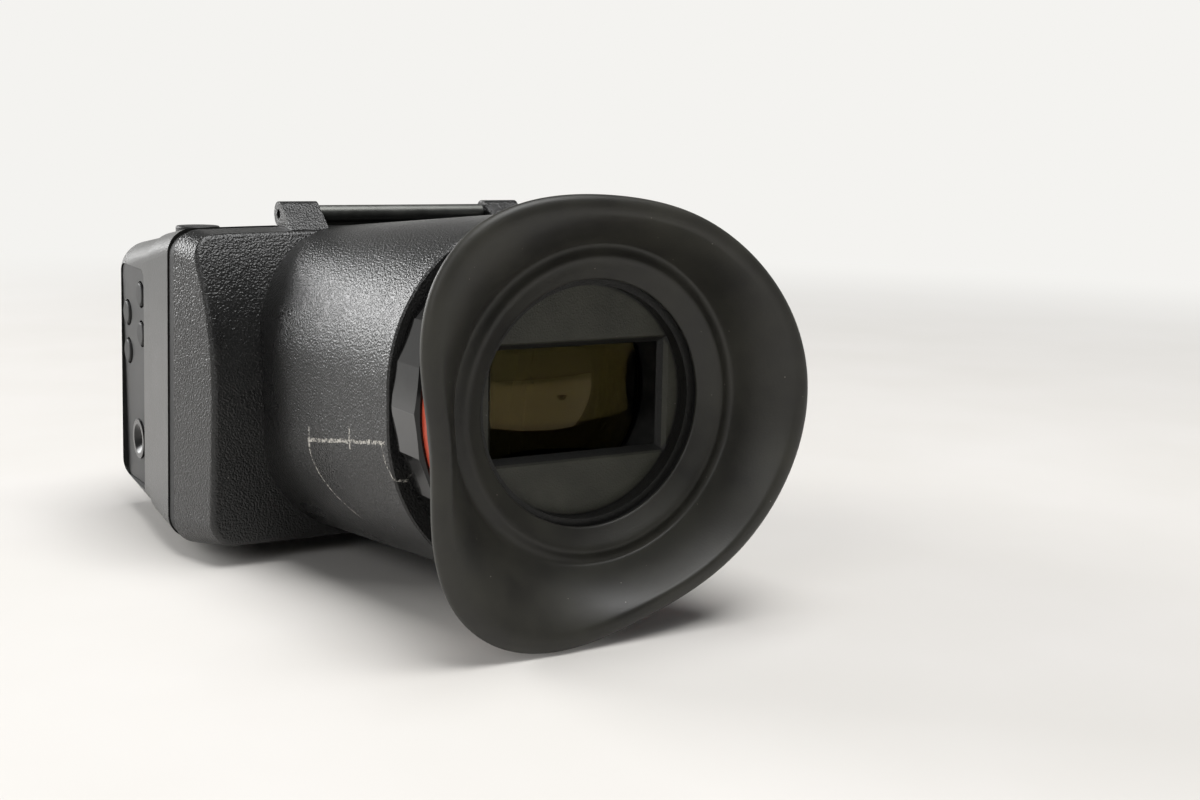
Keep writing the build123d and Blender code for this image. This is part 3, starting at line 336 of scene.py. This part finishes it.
def scuffed_grain(tree, spot):
    tones = ((0.36, linear("#1a1a1a")), (0.72, linear("#232322")))
    wear = node(tree, "TexNoise", {"Vector": spot, "Scale": per_mm(18), "Detail": 5})
    tone = node(tree, "ValToRGB", {0: (wear, 0)}, tones)
    cells = node(tree, "TexVoronoi", {"Vector": spot, "Scale": per_mm(5)})
    speck = node(tree, "ValToRGB", {0: (cells, 0)}, ((0.018, grey(0.45)), (0.03, grey(0))))
    dust = {0: (speck, 0), 6: (tone, 0), 7: linear("#9a968f")}
    dusty = node(tree, "Mix", dust, data_type="RGBA")
    place = node(tree, "VectorMath", {0: spot, "Scale": 1 / MM}, operation="SCALE")
    sides = node(tree, "SeparateXYZ", {0: (place, 0)})
    shaky = node(tree, "TexNoise", {"Vector": (place, 0), "Scale": 0.5, "Detail": 4})
    swing = {0: (shaky, 0), 1: SHAKE, 2: -SHAKE / 2}
    shift = node(tree, "Math", swing, operation="MULTIPLY_ADD")
    rough = node(tree, "TexNoise", {"Vector": (place, 0), "Scale": 2.2, "Detail": 3})
    patchy = node(tree, "ValToRGB", {0: (rough, 0)}, ((0.42, grey(0.0)), (0.56, grey(1.0))))
    left = node(tree, "Math", {0: (sides, "X"), 1: LEFT_SIDE_X}, operation="LESS_THAN")
    mark = node(tree, "Math", {0: (patchy, 0), 1: (left, 0)}, operation="MULTIPLY")
    total = None
    for share_y, share_z, offset, bend, top, half, middle, along, width in SCUFFS:
        slope = {0: (place, 0), 1: (0, share_y, share_z)}
        line = node(tree, "VectorMath", slope, operation="DOT_PRODUCT")
        below = node(tree, "Math", {0: (sides, "Z"), 1: top}, operation="SUBTRACT")
        square = node(tree, "Math", {0: (below, 0), 1: (below, 0)}, operation="MULTIPLY")
        bending = {0: (square, 0), 1: bend, 2: (line, "Value")}
        bent = node(tree, "Math", bending, operation="MULTIPLY_ADD")
        moved = node(tree, "Math", {0: (bent, 0), 1: offset}, operation="ADD")
        shaking = {0: (shift, 0), 1: SHAKE_SHARE, 2: (moved, 0)}
        shaken = node(tree, "Math", shaking, operation="MULTIPLY_ADD")
        near = node(tree, "Math", {0: (shaken, 0), 1: 0.0, 2: width}, operation="COMPARE")
        reach = {0: (sides, along), 1: middle, 2: half}
        inside = node(tree, "Math", reach, operation="COMPARE")
        both = node(tree, "Math", {0: (near, 0), 1: (inside, 0)}, operation="MULTIPLY")
        if total:
            total = node(tree, "Math", {0: (both, 0), 1: (total, 0)}, operation="MAXIMUM")
        else:
            total = both
    scuff = node(tree, "Math", {0: (total, 0), 1: (mark, 0)}, operation="MULTIPLY")
    scuffed = {0: (scuff, 0), 6: (dusty, 2), 7: linear("#bdb9b1")}
    colour = node(tree, "Mix", scuffed, data_type="RGBA")
    fine = {"Vector": spot, "Scale": per_mm(0.4), "Detail": 1, "Roughness": 0.5}
    grains = node(tree, "TexNoise", fine)
    relief = node(tree, "Bump", {"Height": (grains, 0), "Distance": 0.18 * MM})
    sheen = node(tree, "ValToRGB", {0: (wear, 0)}, ((0.3, grey(0.26)), (0.7, grey(0.33))))
    dulled = {0: (scuff, 0), 1: 0.4, 2: (sheen, 0)}
    matt = node(tree, "Math", dulled, operation="MULTIPLY_ADD")
    return {"Base Color": (colour, 2), "Roughness": (matt, 0), "Normal": (relief, 0)}


dress(material("coarse_grained_abs", {"IOR": 1.5}, scuffed_grain), "magnifier_housing")


# Seam gasket: a band of black foam rubber that keeps light out of the seam. It is the darkest
# line on the side of the object.
gasket_rubber = rubbery("foamed_gasket_rubber", "#0a0a0a", "#0e0e0e", 0.4, 0.02, 0.6)
dress(gasket_rubber, "seam_gasket")


# Focus ring: turned black acetal with polished flats, so that each flat mirrors its own part
# of the room and the floor. Fingers leave faint smears on the flats.
def smeared_acetal(tree, spot):
    tones = ((0.3, linear("#070707")), (0.8, linear("#0d0d0d")))
    smear = node(tree, "TexNoise", {"Vector": spot, "Scale": per_mm(5), "Detail": 5})
    tone = node(tree, "ValToRGB", {0: (smear, 0)}, tones)
    sheen = node(tree, "ValToRGB", {0: (smear, 0)}, ((0.35, grey(0.06)), (0.8, grey(0.15))))
    return {"Base Color": (tone, 0), "Roughness": (sheen, 0)}


acetal = {"IOR": 1.48, "Specular IOR Level": 0.38}
dress(material("polished_black_acetal", acetal, smeared_acetal), "focus_ring")


# Accent ring: a thin aluminium ring in red lacquer, pressed into the front of the focus ring.
# The lacquer has a clear coat and has worn a little paler.
def worn_lacquer(tree, spot):
    tones = ((0.3, linear("#c4452c")), (0.8, linear("#d0583c")))
    wear = node(tree, "TexNoise", {"Vector": spot, "Scale": per_mm(2), "Detail": 4})
    tone = node(tree, "ValToRGB", {0: (wear, 0)}, tones)
    sheen = node(tree, "ValToRGB", {0: (wear, 0)}, ((0.3, grey(0.28)), (0.7, grey(0.42))))
    return {"Base Color": (tone, 0), "Roughness": (sheen, 0)}


clear_coat = {"Coat Weight": 0.5, "Coat Roughness": 0.15}
dress(material("red_lacquered_ring", clear_coat, worn_lacquer), "accent_ring")


# Eyecup holder and retainer ring: moulded in black ABS and left dull. Their near-black colour
# is painted shade, darker than the other black parts, so that the wall round the mask plate
# stays a dark line.
dull_abs_with_painted_shade = moulded("dull_black_abs_with_painted_shade", "#080808", "#0d0d0d", 0.3, 0.01, 0.5, 0.6)
dress(dull_abs_with_painted_shade, "eyecup_holder", "retainer_ring")


# Mask plate: a dished disc of matt ABS behind the eyecup, with a grain that holds dust. The
# bevels of its window and the wall of its bore are smooth, and they carry painted shade: a
# near-black colour in place of the plate's dusty tone.
# Half sizes round the bevels, and the radii between which the plate turns into the wall, in mm
BEVEL_HALF_WIDTH = 17.1
BEVEL_HALF_HEIGHT = 10.1
WALL_STARTS_R = 19.5
WALL_R = 19.9


def dusty_grain(tree, spot):
    tones = ((0.35, linear("#313129")), (0.7, linear("#3d3d34")))
    wear = node(tree, "TexNoise", {"Vector": spot, "Scale": per_mm(7), "Detail": 6})
    tone = node(tree, "ValToRGB", {0: (wear, 0)}, tones)
    cells = node(tree, "TexVoronoi", {"Vector": spot, "Scale": per_mm(2.6)})
    speck = node(tree, "ValToRGB", {0: (cells, 0)}, ((0.03, grey(0.5)), (0.045, grey(0))))
    dust = {0: (speck, 0), 6: (tone, 0), 7: linear("#8f8b84")}
    dusty = node(tree, "Mix", dust, data_type="RGBA")
    place = node(tree, "SeparateXYZ", {0: spot})
    window_x = {0: (place, "X"), 1: 0.0, 2: BEVEL_HALF_WIDTH * MM}
    across = node(tree, "Math", window_x, operation="COMPARE")
    window_z = {0: (place, "Z"), 1: AXIS_Z * MM, 2: BEVEL_HALF_HEIGHT * MM}
    upright = node(tree, "Math", window_z, operation="COMPARE")
    bevel = node(tree, "Math", {0: (across, 0), 1: (upright, 0)}, operation="MULTIPLY")
    lowered = node(tree, "VectorMath", {0: spot, 1: (0, 0, -AXIS_Z * MM)})
    flat = node(tree, "VectorMath", {0: (lowered, 0), 1: (1, 0, 1)}, operation="MULTIPLY")
    off_axis = node(tree, "VectorMath", {0: (flat, 0)}, operation="LENGTH")
    rise = {0: (off_axis, "Value"), 1: WALL_STARTS_R * MM, 2: WALL_R * MM}
    wall = node(tree, "MapRange", rise)
    # Painted shade: the window's bevels and the bore's wall take the near-black colour below
    smooth = node(tree, "Math", {0: (bevel, 0), 1: (wall, 0)}, operation="MAXIMUM")
    bare = {0: (smooth, 0), 6: (dusty, 2), 7: linear("#121210")}
    colour = node(tree, "Mix", bare, data_type="RGBA")
    grains = node(tree, "TexNoise", {"Vector": spot, "Scale": per_mm(0.32), "Detail": 2})
    relief = node(tree, "Bump", {"Height": (grains, 0), "Distance": 0.12 * MM})
    return {"Base Color": (colour, 2), "Normal": (relief, 0)}


dress(material("dusty_grained_abs_with_painted_shade", {"IOR": 1.5, "Roughness": 0.5}, dusty_grain), "mask_plate")


# Lenses: polished crown glass with a hard anti-reflection coating, which holds back most of the
# mirror and turns what is left olive and brown. Dust makes a faint haze.
def dusty_glass(tree, spot):
    dust = node(tree, "TexNoise", {"Vector": spot, "Scale": per_mm(3), "Detail": 6})
    sheen = node(tree, "ValToRGB", {0: (dust, 0)}, ((0.5, grey(0.0)), (0.85, grey(0.06))))
    return {"Roughness": (sheen, 0)}


coated = {
    "Base Color": linear("#aeb094"), "IOR": 1.52, "Transmission Weight": 1.0,
    "Specular IOR Level": 0.35, "Specular Tint": linear("#ceb684"),
}
dress(material("coated_crown_glass", coated, dusty_glass), "front_lens", "rear_lens")


# Eyecup: one piece of soft moulded rubber. A sloping ring frames the aperture, and outside it a
# shallow valley runs round before the bowl rises steeply and flares to a rolled lip.
APERTURE_Y = -106.5
RIM_R = 37.27
RIM_WAVES = ((-2.11, -0.41), (0.23, 0.35), (2.44, 0.49), (-1.30, -0.59), (0.48, 0.33))
# Millimetres ahead of the aperture, radius of the round part, how far the ring follows the lip's
# outline, and how far inside that outline it stays
CUP_PROFILE = (
    # back face, from the aperture outwards
    (-0.35, 21.05, 0, 0), (-0.4, 21.6, 0, 0), (-0.4, 27.0, 0, 0), (-0.4, 29.8, 0, 0),
    # outside of the bowl, out to the lip
    (-0.4, 30.3, 0, 0), (-0.2, 30.6, 0, 0), (0.8, 30.75, 0.01, 0), (2.6, 31.2, 0.06, 0),
    (4.0, 31.2, 0.16, 0), (5.2, 31.2, 0.3, 0), (6.3, 31.2, 0.42, 0), (7.4, 31.2, 0.56, 0),
    (8.5, 31.2, 0.72, 0), (9.5, 31.2, 0.88, 0),
    # rolled lip
    (10.3, 31.2, 1.0, 0.1), (11.0, 31.2, 1.0, 0.05), (11.6, 31.2, 1.0, 0.35),
    (12.0, 31.2, 1.0, 0.95), (12.2, 31.2, 1.0, 1.8), (12.18, 31.2, 1.0, 2.6),
    # inside of the bowl, down to the valley
    (11.95, 27.0, 0.94, 2.8), (11.55, 27.0, 0.85, 2.6), (10.95, 27.0, 0.74, 2.4),
    (10.1, 27.0, 0.62, 2.2), (9.0, 27.0, 0.5, 2.1), (7.7, 27.0, 0.38, 2.1),
    (6.3, 27.0, 0.27, 2.1), (4.9, 27.0, 0.18, 2.1), (3.6, 27.0, 0.11, 2.1),
    (2.5, 27.0, 0.05, 2.1),
    # valley, crest, and the slope down to the aperture
    (2.0, 27.1, 0, 0), (1.95, 26.4, 0, 0), (2.12, 25.8, 0, 0), (2.34, 25.3, 0, 0),
    (2.42, 24.9, 0, 0), (2.3, 24.4, 0, 0), (1.95, 23.8, 0, 0), (1.25, 22.8, 0, 0),
    (0.55, 21.7, 0, 0), (0.3, 21.25, 0, 0), (0.1, 21.05, 0, 0),
)
CUP_STEPS = 160  # round the axis


def rim_radius(angle):
    """The lip's outline from the front: nearly round, with a brow corner and a cheek corner."""
    radius = RIM_R
    for k, (even, odd) in enumerate(RIM_WAVES, 1):
        radius += even * math.cos(k * angle) + odd * math.sin(k * angle)
    return radius


skin = bmesh.new()
rings = []
for i in range(CUP_STEPS):
    angle = 2 * math.pi * i / CUP_STEPS
    ring = []
    for ahead, base, share, inset in CUP_PROFILE:
        radius = base + (rim_radius(angle) - inset - base) * share
        x, z = radius * math.cos(angle), AXIS_Z + radius * math.sin(angle)
        ring.append(skin.verts.new(Vector((x, APERTURE_Y - ahead, z)) * MM))
    rings.append(ring)
for i in range(CUP_STEPS):
    here, after = rings[i], rings[(i + 1) % CUP_STEPS]
    for j in range(len(CUP_PROFILE)):
        k = (j + 1) % len(CUP_PROFILE)
        skin.faces.new((here[j], here[k], after[k], after[j])).smooth = True
bmesh.ops.recalc_face_normals(skin, faces=skin.faces)
cup_mesh = bpy.data.meshes.new("eyecup_skin")
skin.to_mesh(cup_mesh)
skin.free()
cup_mesh.materials.append(rubbery("soft_moulded_rubber", "#242320", "#35342e", 0.4, 0.02, 0.41))
cup = bpy.data.objects.new("eyecup_skin", cup_mesh)
bpy.context.scene.collection.objects.link(cup)
softened = cup.modifiers.new("softened", "SUBSURF")
softened.levels = softened.render_levels = 1
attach(cup, "cup")
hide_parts("eyecup")


# Camera: in front of the eyepiece, to its left and a little higher than the object. Its tilt
# makes up for the small angle at which the real object leans on its eyecup.
camera_data = bpy.data.cameras.new("camera")
camera_data.sensor_width, camera_data.lens, camera_data.clip_start = 36.0, 47.58, 0.01
camera = bpy.data.objects.new("camera", camera_data)
bpy.context.scene.collection.objects.link(camera)
camera_place = (-0.13510754, -0.33196674, 0.08338763)
right = Vector((0.85682108, -0.51526358, 0.01900195))
up = Vector((0.0695451, 0.15200434, 0.9859301))
back = Vector((-0.51090225, -0.8434442, 0.16607458))
facing = Matrix((right, up, back)).transposed().to_4x4()
camera.matrix_world = Matrix.Translation(camera_place) @ facing
bpy.context.scene.camera = camera


# Floor: a matt, pale table top just under the base plate. Far from the object it is seen at the
# brightness of the room, so that it runs into the backdrop.
TABLE_R = 12.0
TABLE_Z = -0.0002
BACKDROP = linear("#f4f3f0")
table = bmesh.new()
bmesh.ops.create_circle(table, cap_ends=True, radius=TABLE_R, segments=96)
table_mesh = bpy.data.meshes.new("table_top")
table.to_mesh(table_mesh)
table.free()


def faint_clouds(tree, spot):
    tones = ((0.3, linear("#d9d6d1")), (0.7, linear("#dddad6")))
    cloud = node(tree, "TexNoise", {"Vector": spot, "Scale": per_mm(60), "Detail": 3})
    tone = node(tree, "ValToRGB", {0: (cloud, 0)}, tones)
    return {"Base Color": (tone, 0)}


table_paint = material("matt_pale_table", {"Roughness": 0.6}, faint_clouds)
tree = table_paint.node_tree
path = node(tree, "LightPath", {})
spot = (node(tree, "TexCoord", {}), "Object")
sides = node(tree, "SeparateXYZ", {0: spot})
# What glossy faces mirror is dim behind the camera: the value grows from 0.1 to 1 with y
ahead = node(tree, "MapRange", {0: (sides, "Y"), 1: -0.3, 2: 0.5, 3: 0.1, 4: 1.0})
glossy = {0: (path, "Is Glossy Ray"), 1: (ahead, 0)}
mirror = node(tree, "Math", glossy, operation="MULTIPLY")
direct = node(tree, "Math", {0: (path, "Is Camera Ray"), 1: (mirror, 0)}, operation="MAXIMUM")
through = {0: (direct, 0), 1: (path, "Is Transmission Ray")}
seen = node(tree, "Math", through, operation="MAXIMUM")
# The floor turns into the backdrop between 0.22 and 0.75 metres from the middle
away = node(tree, "VectorMath", {0: spot}, operation="LENGTH")
reach = {0: (away, "Value"), 1: 0.22, 2: 0.75}
far = node(tree, "MapRange", reach, interpolation_type="SMOOTHSTEP")
share = node(tree, "Math", {0: (far, 0), 1: (seen, 0)}, operation="MULTIPLY")
glow = node(tree, "Emission", {"Color": BACKDROP, "Strength": 1.0})
faces = {0: (share, 0), 1: (tree.nodes["Principled BSDF"], 0), 2: (glow, 0)}
both = node(tree, "MixShader", faces)
tree.links.new(both.outputs[0], tree.nodes["Material Output"].inputs["Surface"])
table_mesh.materials.append(table_paint)
table_top = bpy.data.objects.new("table_top", table_mesh)
table_top.location.z = TABLE_Z
bpy.context.scene.collection.objects.link(table_top)


# Studio: a softbox overhead, one behind on the left for the long highlight on the tube, and a
# weak one in front. All three point at the middle of the object.
AIM = Vector((0, -0.06, 0.04))
for name, place, width, height, power in (
    ("overhead_softbox", (0.08, -0.28, 1.1), 0.8, 0.8, 14.8),
    ("rear_left_softbox", (-0.64, 0.92, 0.43), 0.8, 0.5, 12.0),
    ("front_left_fill", (-0.9, -0.7, 0.6), 0.5, 0.5, 3.0),
):
    data = bpy.data.lights.new(name, "AREA")
    data.shape, data.size, data.size_y, data.energy = "RECTANGLE", width, height, power
    light = bpy.data.objects.new(name, data)
    light.location = place
    light.rotation_euler = (Vector(place) - AIM).to_track_quat("Z", "Y").to_euler()
    bpy.context.scene.collection.objects.link(light)
    if name == "rear_left_softbox":
        # The flats of the focus ring would mirror this one as a white patch
        unlit = bpy.data.collections.new("not_lit_from_rear_left")
        unlit.objects.link(nodes["focus_ring"])
        light.light_linking.receiver_collection = unlit
        unlit.collection_objects[0].light_linking.link_state = "EXCLUDE"


# Room: to the camera, in glossy faces and through glass it is pale low down and dark overhead,
# and in the last two also dim behind the camera. All other rays meet a weak, even light.
world = bpy.data.worlds.new("room")
bpy.context.scene.world = world
world.use_nodes = True
tree = world.node_tree
tree.nodes.clear()
path = node(tree, "LightPath", {})
sides = node(tree, "SeparateXYZ", {0: (node(tree, "TexCoord", {}), "Generated")})
ahead = node(tree, "MapRange", {0: (sides, "Y"), 1: -0.5, 2: 0.5, 3: 0.12, 4: 1.0})
bright = node(tree, "Math", {0: (ahead, 0), 1: (path, "Is Camera Ray")}, operation="MAXIMUM")
sight = {0: (path, "Is Camera Ray"), 1: (path, "Is Glossy Ray")}
mirror = node(tree, "Math", sight, operation="MAXIMUM")
through = {0: (mirror, 0), 1: (path, "Is Transmission Ray")}
seen = node(tree, "Math", through, operation="MAXIMUM")
fall = node(tree, "ValToRGB", {0: (sides, "Z")}, ((0.10, BACKDROP), (0.42, grey(0.10))))
backdrop = node(tree, "Background", {"Color": (fall, 0), "Strength": (bright, 0)})
air = node(tree, "Background", {"Color": linear("#eef1f6"), "Strength": 0.10})
both = node(tree, "MixShader", {0: (seen, 0), 1: (air, 0), 2: (backdrop, 0)})
node(tree, "OutputWorld", {"Surface": (both, 0)})

bpy.context.scene.view_settings.view_transform = "Standard"
